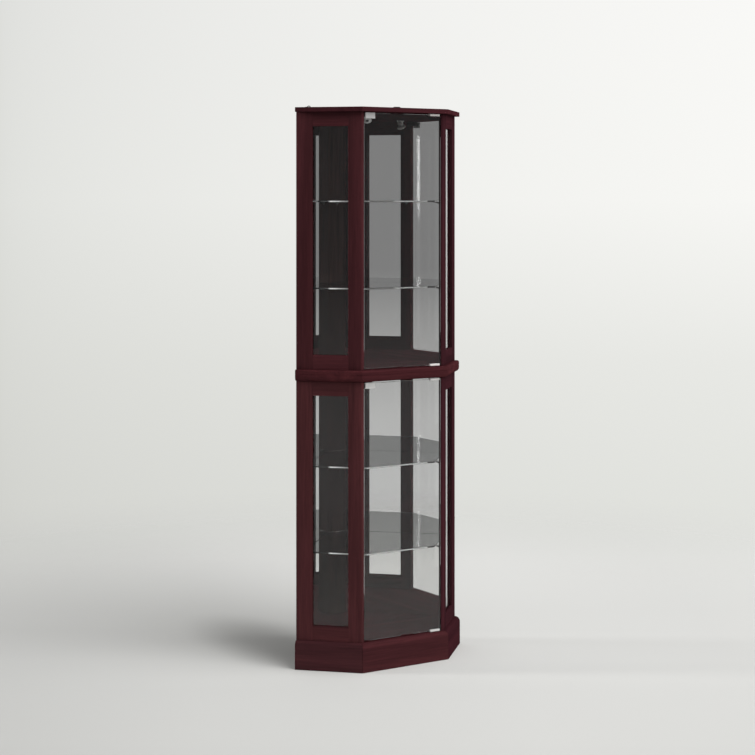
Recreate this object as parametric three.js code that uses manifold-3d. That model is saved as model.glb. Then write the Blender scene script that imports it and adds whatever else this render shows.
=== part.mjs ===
// Corner curio cabinet: two glazed cases, one above the other, on a mitred plinth.
// Millimetres, +Z up. The front faces -Y, and the room's corner is behind, towards +Y.

import * as THREE from 'three';
import { mergeVertices } from 'three/addons/utils/BufferGeometryUtils.js';
import Module from 'manifold-3d';

// The plan. u runs along the right-hand back wall and v along the left-hand one, both from the
// room's corner. The left return lies at the largest v and the right return at the largest u.
const wall_length = 440;
const return_depth = 215;
const corner_cut = 45;

// Heights of the storeys, from the floor up.
const plinth_height = 92;
const lower_case_height = 830;
const mid_board_thickness = 38;
const upper_case_height = 825;
const top_board_thickness = 15;
const floor_board_thickness = 18;

// Edges of the boards that stand proud of the cases.
const top_overhang = 16.5;
const top_edge_round = 1.5;
const mid_overhang = 15;
const mid_lower_round = 14;
const mid_upper_round = 6.5;
const mid_quirk_drop = 15;
const mid_quirk_width = 2;
const mid_quirk_depth = 0.9;
const plinth_overhang = 18;
const plinth_board_thickness = 18;
const plinth_round = 17;

// Return frames and their panes.
const frame_thickness = 18;
const rear_stile = 53.5;
const front_stile = 44;
const bottom_rail = 47;
const top_rail = 46;
const jamb_face = 9;
const rabbet = 8;
const pane_setback = 7.5;
const pane_thickness = 4;
const joint_line_width = 0.6;
const joint_line_depth = 0.5;

// Back walls. The mirrors have bevelled edges.
const back_thickness = 12;
const corner_board_thickness = 10;
const mirror_thickness = 4;
const mirror_bevel_width = 10.5;
const mirror_bevel_drop = 1.3;

// Glass shelves and the pins that carry them. The shares are of the height of the case.
const shelf_thickness = 5;
const shelf_side_gap = 10;
const shelf_back_gap = 1.5;
const shelf_front_inset = 13;
const shelf_edge_chamfer = 0.6;
const lower_shelf_shares = [0.3302, 0.6632];
const upper_shelf_shares = [0.3103, 0.6497];
const pin_radius = 2.5;
const pin_length = 8;
const pin_tongue_length = 17;
const pin_tongue_width = 10;
const pin_tongue_thickness = 2;
const pin_rib_width = 3;
const pin_rib_depth = 6;
const pin_collar_radius = 4.2;
const pin_collar_length = 1.6;

// Glass doors.
const door_thickness = 5;
const door_inset = 1.5;
const door_side_gap = 1.6;
const door_end_gap = 4;
const door_edge_chamfer = 0.7;

// Pivot clamps of the doors.
const clamp_length = 36.5;
const clamp_height = 6.8;
const clamp_wall = 2.5;
const clamp_corner_round = 0.8;
const clamp_end_inset = 6;
const pivot_inset = 9.5;
const pivot_radius = 2.7;
const pivot_length = 8;
const pivot_boss_radius = 3.5;
const pivot_boss_height = 0.9;
const clamp_screw_radius = 1.3;
const clamp_screw_depth = 1.2;
const clamp_screw_inset = 11;

// Catch plates on the doors, and the push latches behind them.
const plate_length = 36.5;
const plate_height = 19;
const plate_thickness = 1.2;
const plate_end_inset = 4.5;
const latch_length = 34;
const latch_depth = 24;
const latch_height = 14;
const latch_corner_round = 2;
const plunger_radius = 4.5;
const plunger_head_radius = 5.5;
const plunger_head_length = 3;
const plunger_reach = 5;
const plunger_length = 17;
const plunger_travel = 3;
const latch_screw_radius = 2;
const latch_screw_inset = 6;

// Lamp under the top board, and the fittings of its lead on top.
const lamp_offset = 65;
const lamp_depth = 117;
const lamp_plate_radius = 13;
const lamp_plate_thickness = 3;
const yoke_gap = 13;
const yoke_ear_thickness = 2;
const yoke_ear_width = 9;
const yoke_drop = 9;
const trunnion_radius = 2;
const lamp_rim_radius = 15;
const lamp_neck_radius = 5.5;
const lamp_length = 14;
const lamp_wall = 1.4;
const lens_rise = 1.2;
const lamp_turn = THREE.MathUtils.degToRad(-30);
const lamp_aim = THREE.MathUtils.degToRad(35);
const gland_offset = 5;
const gland_depth = 45;
const gland_radius = 13;
const gland_height = 5.5;
const gland_neck_radius = 7;
const gland_bore_radius = 3;
const lead_clip_back = 40;
const lead_clip_inset = 9;
const lead_clip_width = 10;
const lead_clip_height = 5.5;
const lead_clip_thickness = 1.6;
const lead_clip_foot = 7;

// Clearances.
const gap = 0.3;
const hole_clearance = 0.3;
const hole_end_clearance = 0.6;
const overrun = 2;

// Facets.
const round_steps = 5;
const small_sides = 12;
const lamp_sides = 28;

// Worked out from the sizes above.
const root_half = Math.SQRT1_2;
const mitre_share = Math.SQRT2 - 1;
const quarter_turn = Math.PI / 2;
const eighth_turn = Math.PI / 4;

const lower_bottom = plinth_height;
const lower_top = lower_bottom + lower_case_height;
const upper_bottom = lower_top + mid_board_thickness;
const upper_top = upper_bottom + upper_case_height;
const overall_height = upper_top + top_board_thickness;

const frame_inner = wall_length - frame_thickness;
const panel_sum = corner_cut * Math.SQRT2;
const corner_face = corner_cut + corner_board_thickness;
const mirror_back = back_thickness + gap;
const mirror_face = mirror_back + mirror_thickness;

const front_distance = (wall_length + return_depth) * root_half;
const front_half_width = (wall_length - return_depth) * root_half;
const centre_shift = (front_distance + plinth_overhang + corner_cut) / 2;

const jamb_step = jamb_face * root_half;
const jamb_root = return_depth + 2 * jamb_step - frame_thickness;
const window_rear = rear_stile;
const window_front = return_depth - front_stile;
const rear_pin = (mirror_face + window_rear - rabbet) / 2;
const front_pin = (window_front + rabbet + jamb_root) / 2;

const door_half_width = front_half_width - jamb_face - door_side_gap;
const door_middle = door_inset + door_thickness / 2;
const pivot_x = door_half_width - pivot_inset;
const clamp_right = door_half_width - clamp_end_inset;
const clamp_middle = clamp_right - clamp_length / 2;
const clamp_depth = door_thickness + 2 * gap + 2 * clamp_wall;
const clamp_standoff = gap + pivot_boss_height;
const plate_middle = plate_end_inset + plate_length / 2 - door_half_width;
const plate_rear = door_inset + door_thickness + gap + plate_thickness;
const latch_front = plate_rear + gap + plunger_reach;

const wood = new THREE.MeshStandardMaterial({ color: 0x43211f, roughness: 0.42, metalness: 0 });
const board = new THREE.MeshStandardMaterial({ color: 0x3a2220, roughness: 0.6, metalness: 0 });
const clear_glass = new THREE.MeshStandardMaterial({
  color: 0xdfe8e6, roughness: 0.05, metalness: 0, transparent: true, opacity: 0.3,
});
const silvered = new THREE.MeshStandardMaterial({ color: 0xd8dcdc, roughness: 0.03, metalness: 1 });
const nickel = new THREE.MeshStandardMaterial({ color: 0xb9b9b6, roughness: 0.28, metalness: 1 });
const dark_plastic = new THREE.MeshStandardMaterial({ color: 0x1d1715, roughness: 0.5, metalness: 0 });
const bulb_glass = new THREE.MeshStandardMaterial({ color: 0xf4efe2, roughness: 0.2, metalness: 0 });

const wasm = await Module();
wasm.setup();

// Keeps only positions, with shared vertices merged.
function bare(geometry) {
  const copy = geometry.clone();
  copy.deleteAttribute('normal');
  copy.deleteAttribute('uv');
  return mergeVertices(copy);
}

function solidOf(geometry) {
  const merged = bare(geometry);
  const mesh = new wasm.Mesh({
    numProp: 3,
    vertProperties: new Float32Array(merged.attributes.position.array),
    triVerts: new Uint32Array(merged.index.array),
  });
  return new wasm.Manifold(mesh);
}

function geometryOf(solid) {
  const mesh = solid.getMesh();
  const geometry = new THREE.BufferGeometry();
  geometry.setAttribute('position', new THREE.BufferAttribute(mesh.vertProperties, 3));
  geometry.setIndex(new THREE.BufferAttribute(mesh.triVerts, 1));
  return geometry;
}

function join(...geometries) {
  return geometryOf(geometries.map(solidOf).reduce((whole, piece) => whole.add(piece)));
}

function cut(base, ...cutters) {
  return geometryOf(cutters.map(solidOf).reduce((whole, piece) => whole.subtract(piece), solidOf(base)));
}

// A point of the plan, in the group that is turned to the walls: x is u, and y is minus v.
function at(u, v) {
  return new THREE.Vector2(u, -v);
}

// A point moved along the front plane, to the right.
function alongFront(point, distance) {
  return new THREE.Vector2(point.x + distance * root_half, point.y + distance * root_half);
}

function block(x_low, x_high, y_low, y_high, z_low, z_high) {
  const geometry = new THREE.BoxGeometry(x_high - x_low, y_high - y_low, z_high - z_low);
  return geometry.translate((x_low + x_high) / 2, (y_low + y_high) / 2, (z_low + z_high) / 2);
}

// A block in the plan's u and v.
function planBlock(u_low, u_high, v_low, v_high, z_low, z_high) {
  return block(u_low, u_high, -v_high, -v_low, z_low, z_high);
}

// A round rod between two points.
function rod(radius, start, end, sides = small_sides) {
  const axis = end.clone().sub(start);
  const geometry = new THREE.CylinderGeometry(radius, radius, axis.length(), sides);
  const turn = new THREE.Quaternion().setFromUnitVectors(new THREE.Vector3(0, 1, 0), axis.normalize());
  const middle = start.clone().add(end).divideScalar(2);
  return geometry.applyQuaternion(turn).translate(middle.x, middle.y, middle.z);
}

function prism(points, z_low, z_high) {
  const settings = { depth: z_high - z_low, bevelEnabled: false };
  return new THREE.ExtrudeGeometry(new THREE.Shape(points), settings).translate(0, 0, z_low);
}

// A closed body through a stack of plan outlines, each one a list of points at a height.
function stackedBody(levels) {
  const count = levels[0].points.length;
  const clockwise = THREE.ShapeUtils.area(levels[0].points) < 0;
  const rings = levels.map((level) => (clockwise ? [...level.points].reverse() : level.points));
  const positions = rings.flatMap((ring, i) => ring.flatMap((p) => [p.x, p.y, levels[i].height]));
  const faces = [];
  for (let i = 0; i + 1 < rings.length; i += 1) {
    for (let j = 0; j < count; j += 1) {
      const here = i * count + j;
      const next = i * count + (j + 1) % count;
      faces.push(here, next, next + count, here, next + count, here + count);
    }
  }
  const last = (rings.length - 1) * count;
  for (const [a, b, c] of THREE.ShapeUtils.triangulateShape(rings[0], [])) {
    faces.push(c, b, a);
  }
  for (const [a, b, c] of THREE.ShapeUtils.triangulateShape(rings[rings.length - 1], [])) {
    faces.push(last + a, last + b, last + c);
  }
  const geometry = new THREE.BufferGeometry();
  geometry.setAttribute('position', new THREE.Float32BufferAttribute(positions, 3));
  geometry.setIndex(faces);
  return geometry;
}

// The same piece on the other side of the cabinet: u and v change places.
function mirrored(geometry) {
  const copy = bare(geometry);
  const swap = new THREE.Matrix4().set(0, -1, 0, 0, -1, 0, 0, 0, 0, 0, 1, 0, 0, 0, 0, 1);
  copy.applyMatrix4(swap);
  const index = Array.from(copy.index.array);
  for (let i = 0; i < index.length; i += 3) {
    [index[i], index[i + 1]] = [index[i + 1], index[i]];
  }
  copy.setIndex(index);
  return copy;
}

// Quarter rounds as pairs of sideways and upward steps, from 0 to 1.
function quarter(step) {
  const angle = quarter_turn * step / round_steps;
  return { sine: Math.sin(angle), cosine: Math.cos(angle) };
}

// Heights and overhangs of a moulded edge, from the bottom up.
function topEdge(z_low, z_high) {
  const edge = [];
  for (let step = 0; step <= round_steps; step += 1) {
    const { sine, cosine } = quarter(step);
    const out = top_overhang - top_edge_round * (1 - sine);
    edge.push({ out, height: z_low + top_edge_round * (1 - cosine) });
  }
  for (let step = 0; step <= round_steps; step += 1) {
    const { sine, cosine } = quarter(step);
    const out = top_overhang - top_edge_round * (1 - cosine);
    edge.push({ out, height: z_high - top_edge_round * (1 - sine) });
  }
  return edge;
}

function midEdge(z_low, z_high) {
  const quirk = z_high - mid_quirk_drop;
  const edge = [];
  for (let step = 0; step <= round_steps; step += 1) {
    const { sine, cosine } = quarter(step);
    const out = mid_overhang - mid_lower_round * (1 - sine);
    edge.push({ out, height: z_low + mid_lower_round * (1 - cosine) });
  }
  edge.push({ out: mid_overhang, height: quirk - mid_quirk_width / 2 });
  edge.push({ out: mid_overhang - mid_quirk_depth, height: quirk });
  edge.push({ out: mid_overhang, height: quirk + mid_quirk_width / 2 });
  for (let step = 0; step <= round_steps; step += 1) {
    const { sine, cosine } = quarter(step);
    const out = mid_overhang - mid_upper_round * (1 - cosine);
    edge.push({ out, height: z_high - mid_upper_round * (1 - sine) });
  }
  return edge;
}

function plinthEdge(z_low, z_high) {
  const edge = [{ out: plinth_overhang, height: z_low }];
  for (let step = 0; step <= round_steps; step += 1) {
    const { sine, cosine } = quarter(step);
    const out = plinth_overhang - plinth_round * (1 - cosine);
    edge.push({ out, height: z_high - plinth_round * (1 - sine) });
  }
  return edge;
}

// The four exposed corners of the plan, from the left rear round the front to the right rear.
function exposedCorners(out) {
  const drawn = return_depth + mitre_share * out;
  return [
    at(0, wall_length + out), at(drawn, wall_length + out),
    at(wall_length + out, drawn), at(wall_length + out, 0),
  ];
}

// A blind hole for a door's pivot, in the group that is turned to the walls.
function pivotHole(z_mouth, z_end) {
  const distance = front_distance - door_middle;
  const u = (distance + pivot_x) * root_half;
  const v = (distance - pivot_x) * root_half;
  const beyond = z_mouth + Math.sign(z_mouth - z_end) * overrun;
  const start = new THREE.Vector3(u, -v, beyond);
  return rod(pivot_radius + hole_clearance, start, new THREE.Vector3(u, -v, z_end));
}

const hole_depth = pivot_length + hole_end_clearance;

function topBoard() {
  const z_low = upper_top;
  const back = [at(panel_sum, 0), at(0, panel_sum)];
  const levels = topEdge(z_low, overall_height).map(({ out, height }) => (
    { points: [...exposedCorners(out), ...back], height }
  ));
  const distance = front_distance - gland_depth;
  const u = (distance + gland_offset) * root_half;
  const v = (distance - gland_offset) * root_half;
  const gland_hole = rod(
    gland_neck_radius + hole_clearance,
    new THREE.Vector3(u, -v, z_low - overrun),
    new THREE.Vector3(u, -v, overall_height + overrun),
  );
  return cut(stackedBody(levels), pivotHole(z_low, z_low + hole_depth), gland_hole);
}

function midBoard() {
  const z_low = lower_top + gap;
  const z_high = upper_bottom - gap;
  const edge_u = mirror_face + gap;
  const corner_u = (corner_face + gap) * Math.SQRT2 - edge_u;
  const back = [
    at(frame_inner, 0), at(frame_inner, edge_u), at(corner_u, edge_u),
    at(edge_u, corner_u), at(edge_u, frame_inner), at(0, frame_inner),
  ];
  const levels = midEdge(z_low, z_high).map(({ out, height }) => (
    { points: [...exposedCorners(out), ...back], height }
  ));
  return cut(
    stackedBody(levels),
    pivotHole(z_low, z_low + hole_depth),
    pivotHole(z_high, z_high - hole_depth),
  );
}

function floorBoard() {
  const z_high = lower_bottom;
  const z_low = z_high - floor_board_thickness;
  const inside = plinth_overhang - plinth_board_thickness - gap;
  const edge_u = back_thickness + gap;
  const corner_u = (corner_face + gap) * Math.SQRT2 - edge_u;
  const drawn = return_depth + mitre_share * inside;
  const outer = wall_length + inside;
  const points = [
    at(edge_u, outer), at(drawn, outer), at(outer, drawn), at(outer, edge_u),
    at(corner_u, edge_u), at(edge_u, corner_u),
  ];
  return cut(prism(points, z_low, z_high), pivotHole(z_high, z_high - hole_depth));
}

function plinthSide() {
  const inside = plinth_overhang - plinth_board_thickness;
  const levels = plinthEdge(0, plinth_height).map(({ out, height }) => {
    const outer = wall_length + out;
    const inner = wall_length + inside;
    const points = [
      at(0, inner), at(0, outer),
      at(return_depth + mitre_share * out - gap, outer),
      at(return_depth + mitre_share * inside - gap, inner),
    ];
    return { points, height };
  });
  return stackedBody(levels);
}

function plinthFront() {
  const inside = plinth_overhang - plinth_board_thickness;
  const levels = plinthEdge(0, plinth_height).map(({ out, height }) => {
    const [, outer_left, outer_right] = exposedCorners(out);
    const [, inner_left, inner_right] = exposedCorners(inside);
    const points = [
      outer_left, outer_right, inner_right, inner_left,
    ].map((point, i) => alongFront(point, i === 0 || i === 3 ? gap : -gap));
    return { points, height };
  });
  return stackedBody(levels);
}

function shelfLevels() {
  return [
    ...lower_shelf_shares.map((share) => lower_bottom + share * lower_case_height),
    ...upper_shelf_shares.map((share) => upper_bottom + share * upper_case_height),
  ];
}

function pinHeight(shelf_level) {
  return shelf_level - gap - pin_radius;
}

// A hole for a shelf pin in the inner face of the left return.
function framePinHole(u, shelf_level) {
  const z = pinHeight(shelf_level);
  const mouth = new THREE.Vector3(u, -(frame_inner - overrun), z);
  const end = new THREE.Vector3(u, -(frame_inner + pin_length + hole_end_clearance), z);
  return rod(pin_radius + hole_clearance, mouth, end);
}

function returnFrame(z_low, z_high) {
  const bottom = z_low + gap;
  const top = z_high - gap;
  const outline = [
    at(0, wall_length), at(return_depth, wall_length),
    at(return_depth + jamb_step, wall_length - jamb_step),
    at(jamb_root, frame_inner), at(0, frame_inner),
  ];
  const sill = z_low + bottom_rail;
  const head = z_high - top_rail;
  const beyond = wall_length + overrun;
  const before = frame_inner - overrun;
  const seat = wall_length - pane_setback;
  const cutters = [
    planBlock(window_rear, window_front, before, beyond, sill, head),
    planBlock(window_rear - rabbet, window_front + rabbet, before, seat, sill - rabbet, head + rabbet),
  ];
  for (const u of [window_rear, window_front]) {
    const [left, right] = [u - joint_line_width / 2, u + joint_line_width / 2];
    const depth = wall_length - joint_line_depth;
    cutters.push(planBlock(left, right, depth, beyond, bottom - overrun, sill + joint_line_width));
    cutters.push(planBlock(left, right, depth, beyond, head - joint_line_width, top + overrun));
  }
  for (const level of shelfLevels().filter((height) => height > z_low && height < z_high)) {
    cutters.push(framePinHole(rear_pin, level), framePinHole(front_pin, level));
  }
  return cut(prism(outline, bottom, top), ...cutters);
}

function returnPane(z_low, z_high) {
  const outer = wall_length - pane_setback - gap;
  const margin = rabbet - gap;
  return planBlock(
    window_rear - margin, window_front + margin, outer - pane_thickness, outer,
    z_low + bottom_rail - margin, z_high - top_rail + margin,
  );
}

// A back panel, mitred against the corner board. Below the case it reaches to the plinth board.
function backPanel() {
  const mitre_run = back_thickness * mitre_share;
  const corner_side = [at(0, panel_sum + gap), at(back_thickness, panel_sum + mitre_run + gap)];
  const foot_end = wall_length + plinth_overhang - plinth_board_thickness - gap;
  const case_end = frame_inner - gap;
  const foot = [...corner_side, at(back_thickness, foot_end), at(0, foot_end)];
  const panel = [...corner_side, at(back_thickness, case_end), at(0, case_end)];
  const foot_top = lower_bottom - gap;
  return join(prism(foot, 0, foot_top), prism(panel, foot_top - overrun, upper_top - gap));
}

function cornerBoard() {
  const face_end = panel_sum + corner_board_thickness * mitre_share;
  const points = [
    at(panel_sum, 0), at(face_end, corner_board_thickness),
    at(corner_board_thickness, face_end), at(0, panel_sum),
  ];
  const holes = shelfLevels().map((level) => {
    const z = pinHeight(level);
    const mouth = (corner_face + overrun) * root_half;
    const end = (corner_face - pin_length - hole_end_clearance) * root_half;
    const start = new THREE.Vector3(mouth, -mouth, z);
    return rod(pin_radius + hole_clearance, start, new THREE.Vector3(end, -end, z));
  });
  return cut(prism(points, 0, upper_top - gap), ...holes);
}

// The mirror of the right wall. Its end at the corner is cut in line with the corner board.
function backMirror() {
  function outline(depth, inset) {
    const near = (corner_face + gap) * Math.SQRT2 - depth + inset;
    const far = frame_inner - gap - inset;
    const low = lower_bottom + gap + inset;
    const high = upper_top - gap - inset;
    return [
      new THREE.Vector2(near, low), new THREE.Vector2(far, low),
      new THREE.Vector2(far, high), new THREE.Vector2(near, high),
    ];
  }
  const bevel_start = mirror_face - mirror_bevel_drop;
  const body = stackedBody([
    { points: outline(mirror_back, 0), height: mirror_back },
    { points: outline(bevel_start, 0), height: bevel_start },
    { points: outline(bevel_start, mirror_bevel_width), height: mirror_face },
  ]);
  return body.rotateX(quarter_turn);
}

function glassShelf() {
  const near = mirror_face + shelf_back_gap;
  const far = frame_inner - shelf_side_gap;
  const front_sum = (front_distance - shelf_front_inset) * Math.SQRT2;
  const back_sum = (corner_face + shelf_back_gap) * Math.SQRT2;
  function outline(inset) {
    const low = near + inset;
    const high = far - inset;
    const front = front_sum - inset * Math.SQRT2;
    const back = back_sum + inset * Math.SQRT2;
    return [
      at(low, high), at(front - high, high), at(high, front - high),
      at(high, low), at(back - low, low), at(low, back - low),
    ];
  }
  return stackedBody([
    { points: outline(shelf_edge_chamfer), height: 0 },
    { points: outline(0), height: shelf_edge_chamfer },
    { points: outline(0), height: shelf_thickness - shelf_edge_chamfer },
    { points: outline(shelf_edge_chamfer), height: shelf_thickness },
  ]);
}

// A spoon-shaped shelf pin. Its peg points along -X, and its tongue along +X, flush with z = 0 above.
function shelfPin() {
  const peg = rod(
    pin_radius, new THREE.Vector3(-pin_length, 0, -pin_radius), new THREE.Vector3(gap * 2, 0, -pin_radius),
  );
  const collar = rod(
    pin_collar_radius,
    new THREE.Vector3(gap, 0, -pin_collar_radius),
    new THREE.Vector3(gap + pin_collar_length, 0, -pin_collar_radius),
  );
  const half_width = pin_tongue_width / 2;
  const tongue = block(gap, pin_tongue_length, -half_width, half_width, -pin_tongue_thickness, 0);
  const rib_shape = new THREE.Shape([
    new THREE.Vector2(gap, -pin_tongue_thickness / 2),
    new THREE.Vector2(gap, -pin_rib_depth),
    new THREE.Vector2(gap + pin_collar_length, -pin_rib_depth),
    new THREE.Vector2(pin_tongue_length - pin_tongue_thickness, -pin_tongue_thickness / 2),
  ]);
  const rib = new THREE.ExtrudeGeometry(rib_shape, { depth: pin_rib_width, bevelEnabled: false });
  rib.translate(0, 0, -pin_rib_width / 2).rotateX(quarter_turn);
  return join(peg, collar, tongue, rib);
}

// A frameless door with eased edges, in the group of the front.
function glassDoor(z_low, z_high) {
  function outline(inset) {
    const half = door_half_width - inset;
    const bottom = z_low + door_end_gap + inset;
    const top = z_high - door_end_gap - inset;
    return [
      new THREE.Vector2(-half, -top), new THREE.Vector2(half, -top),
      new THREE.Vector2(half, -bottom), new THREE.Vector2(-half, -bottom),
    ];
  }
  const body = stackedBody([
    { points: outline(door_edge_chamfer), height: door_inset },
    { points: outline(0), height: door_inset + door_edge_chamfer },
    { points: outline(0), height: door_inset + door_thickness - door_edge_chamfer },
    { points: outline(door_edge_chamfer), height: door_inset + door_thickness },
  ]);
  return body.rotateX(-quarter_turn);
}

// A profile in depth and height, drawn along the door's width between two places.
function alongDoor(points, x_low, x_high) {
  const settings = { depth: x_high - x_low, bevelEnabled: false };
  const geometry = new THREE.ExtrudeGeometry(new THREE.Shape(points), settings);
  return geometry.rotateX(quarter_turn).rotateZ(quarter_turn).translate(x_low, 0, 0);
}

// The lower pivot clamp of a door that starts at z = 0, with its boss and pin below.
function pivotClamp() {
  const half = clamp_depth / 2;
  const slot = door_thickness / 2 + gap;
  const bottom = clamp_standoff;
  const top = bottom + clamp_height;
  const slot_floor = door_end_gap - gap;
  const r = clamp_corner_round;
  const profile = [
    [-half, bottom + r], [-half + r, bottom], [half - r, bottom], [half, bottom + r],
    [half, top - r], [half - r, top], [slot, top], [slot, slot_floor],
    [-slot, slot_floor], [-slot, top], [-half + r, top], [-half, top - r],
  ].map(([depth, height]) => new THREE.Vector2(door_middle + depth, height));
  const jaws = alongDoor(profile, clamp_middle - clamp_length / 2, clamp_right);
  const axis = (height) => new THREE.Vector3(pivot_x, door_middle, height);
  const boss = rod(pivot_boss_radius, axis(gap), axis(bottom + r));
  const pin = rod(pivot_radius, axis(-pivot_length), axis(bottom + r), small_sides);
  const screw_level = (slot_floor + top) / 2;
  const screws = [clamp_middle - clamp_screw_inset, clamp_middle + clamp_screw_inset].map((x) => rod(
    clamp_screw_radius,
    new THREE.Vector3(x, door_middle + half - clamp_screw_depth, screw_level),
    new THREE.Vector3(x, door_middle + half + overrun, screw_level),
  ));
  return cut(join(jaws, boss, pin), ...screws);
}

// A catch plate folded over the top edge of a door that ends at z = 0.
function catchPlate() {
  const inner = door_thickness / 2 + gap;
  const outer = inner + plate_thickness;
  const fold = gap - door_end_gap;
  const top = fold + plate_thickness;
  const bottom = top - plate_height;
  const profile = [
    [-outer, bottom], [-outer, top], [outer, top], [outer, bottom],
    [inner, bottom], [inner, fold], [-inner, fold], [-inner, bottom],
  ].map(([depth, height]) => new THREE.Vector2(door_middle + depth, height));
  return alongDoor(profile, plate_middle - plate_length / 2, plate_middle + plate_length / 2);
}

// The housing of a push latch, below a board whose underside is z = 0.
function latchHousing() {
  const half = latch_length / 2;
  const r = latch_corner_round;
  const back = latch_front + latch_depth;
  const outline = [
    [-half, latch_front + r], [-half + r, latch_front], [half - r, latch_front], [half, latch_front + r],
    [half, back - r], [half - r, back], [-half + r, back], [-half, back - r],
  ].map(([x, y]) => new THREE.Vector2(plate_middle + x, y));
  const level = -gap - latch_height / 2;
  const bore_end = latch_front - plunger_reach + plunger_length + plunger_travel + hole_end_clearance;
  const bore = rod(
    plunger_radius + hole_clearance,
    new THREE.Vector3(plate_middle, latch_front - overrun, level),
    new THREE.Vector3(plate_middle, bore_end, level),
    small_sides,
  );
  const screws = [-half + latch_screw_inset, half - latch_screw_inset].map((x) => rod(
    latch_screw_radius,
    new THREE.Vector3(plate_middle + x, (latch_front + back) / 2, -gap - latch_height - overrun),
    new THREE.Vector3(plate_middle + x, (latch_front + back) / 2, overrun),
  ));
  return cut(prism(outline, -gap - latch_height, -gap), bore, ...screws);
}

// The plunger, with its magnet head in front of the housing.
function latchPlunger() {
  const level = -gap - latch_height / 2;
  const front = latch_front - plunger_reach;
  const head = rod(
    plunger_head_radius,
    new THREE.Vector3(plate_middle, front, level),
    new THREE.Vector3(plate_middle, front + plunger_head_length - plunger_travel / 2, level),
    small_sides,
  );
  const stem = rod(
    plunger_radius,
    new THREE.Vector3(plate_middle, front + gap, level),
    new THREE.Vector3(plate_middle, front + plunger_length, level),
    small_sides,
  );
  return join(head, stem);
}

// Ceiling plate of the lamp with the two ears of its yoke. The pivot is at the origin.
function lampBase() {
  const plate_low = yoke_drop;
  const plate = rod(
    lamp_plate_radius,
    new THREE.Vector3(0, 0, plate_low),
    new THREE.Vector3(0, 0, plate_low + lamp_plate_thickness),
    lamp_sides,
  );
  const half_gap = yoke_gap / 2;
  const half_width = yoke_ear_width / 2;
  const ears = [-1, 1].map((side) => {
    const inner = side * half_gap;
    const outer = side * (half_gap + yoke_ear_thickness);
    const [x_low, x_high] = [Math.min(inner, outer), Math.max(inner, outer)];
    const strap = block(x_low, x_high, -half_width, half_width, 0, plate_low + gap);
    const eye = rod(
      half_width, new THREE.Vector3(x_low, 0, 0), new THREE.Vector3(x_high, 0, 0), lamp_sides,
    );
    return join(strap, eye);
  });
  const bore = rod(
    trunnion_radius + hole_clearance,
    new THREE.Vector3(-half_gap - yoke_ear_thickness - overrun, 0, 0),
    new THREE.Vector3(half_gap + yoke_ear_thickness + overrun, 0, 0),
  );
  return cut(join(plate, ...ears), bore);
}

// Half profile of the lamp's bell from the top down, drawn in from its outer face by an inset.
function bellProfile(inset, rim_height) {
  const neck = lamp_neck_radius - inset;
  const crown = lamp_neck_radius - inset;
  const shoulder = -lamp_neck_radius - inset;
  const spread = lamp_rim_radius - lamp_neck_radius;
  const points = [new THREE.Vector2(0, crown), new THREE.Vector2(neck, crown)];
  for (let step = 0; step <= round_steps; step += 1) {
    const { sine, cosine } = quarter(step);
    const height = shoulder + (rim_height - shoulder) * (1 - cosine);
    points.push(new THREE.Vector2(neck + spread * sine, height));
  }
  return points;
}

// Turns a profile drawn from the top down into a body about the Z axis.
function turned(profile, sides) {
  return new THREE.LatheGeometry([...profile].reverse(), sides).rotateX(quarter_turn);
}

// Bell-shaped head with its two trunnions. It points along -Z in its own group.
function lampHead() {
  const outer = bellProfile(0, -lamp_length);
  const inner = bellProfile(lamp_wall, -lamp_length);
  const reach = yoke_gap / 2 + yoke_ear_thickness;
  const root = lamp_neck_radius - lamp_wall / 2;
  const trunnions = [-1, 1].map((side) => rod(
    trunnion_radius, new THREE.Vector3(side * root, 0, 0), new THREE.Vector3(side * reach, 0, 0),
  ));
  return join(turned([...outer, ...inner.reverse()], lamp_sides), ...trunnions);
}

// The reflector bulb, which fills the bell up to its shallow lens.
function lampBulb() {
  const profile = bellProfile(lamp_wall + gap, -lamp_length);
  profile.push(new THREE.Vector2(0, -lamp_length - lens_rise));
  return turned(profile, lamp_sides);
}

// The gland that the lamp's lead leaves by: a flanged collar through the top board.
function leadGland() {
  const crown = gland_height / 2;
  const profile = [
    [gland_bore_radius, -top_board_thickness], [gland_neck_radius, -top_board_thickness],
    [gland_neck_radius, gap], [gland_radius, gap], [gland_radius, crown],
    [gland_radius - crown, gland_height], [gland_bore_radius, gland_height],
    [gland_bore_radius, -top_board_thickness],
  ].map(([radius, height]) => new THREE.Vector2(radius, height));
  return new THREE.LatheGeometry(profile, lamp_sides).rotateX(quarter_turn);
}

// A saddle clip for the lead, on the top board.
function leadClip() {
  const half = lead_clip_width / 2;
  const inner = half - lead_clip_thickness;
  const shape = new THREE.Shape();
  shape.moveTo(-half - lead_clip_foot, gap);
  shape.lineTo(-inner, gap);
  shape.lineTo(-inner, lead_clip_height - half);
  shape.absarc(0, lead_clip_height - half, inner, Math.PI, 0, true);
  shape.lineTo(inner, gap);
  shape.lineTo(half, gap);
  shape.lineTo(half, lead_clip_height - half);
  shape.absarc(0, lead_clip_height - half, half, 0, Math.PI, false);
  shape.lineTo(-half, gap + lead_clip_thickness);
  shape.lineTo(-half - lead_clip_foot, gap + lead_clip_thickness);
  const settings = { depth: lead_clip_foot, bevelEnabled: false, curveSegments: round_steps };
  const geometry = new THREE.ExtrudeGeometry(shape, settings);
  return geometry.translate(0, 0, -lead_clip_foot / 2).rotateX(quarter_turn);
}

const cabinet = new THREE.Group();

// Pieces that are drawn in u and v hang in a group turned to the room's walls.
const walls = new THREE.Group();
walls.position.set(0, centre_shift, 0);
walls.rotation.z = -eighth_turn;
cabinet.add(walls);

// Pieces of the doors, latches and lamp hang in a group on the front plane, with y as depth.
const front = new THREE.Group();
front.position.set(0, centre_shift - front_distance, 0);
cabinet.add(front);

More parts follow.
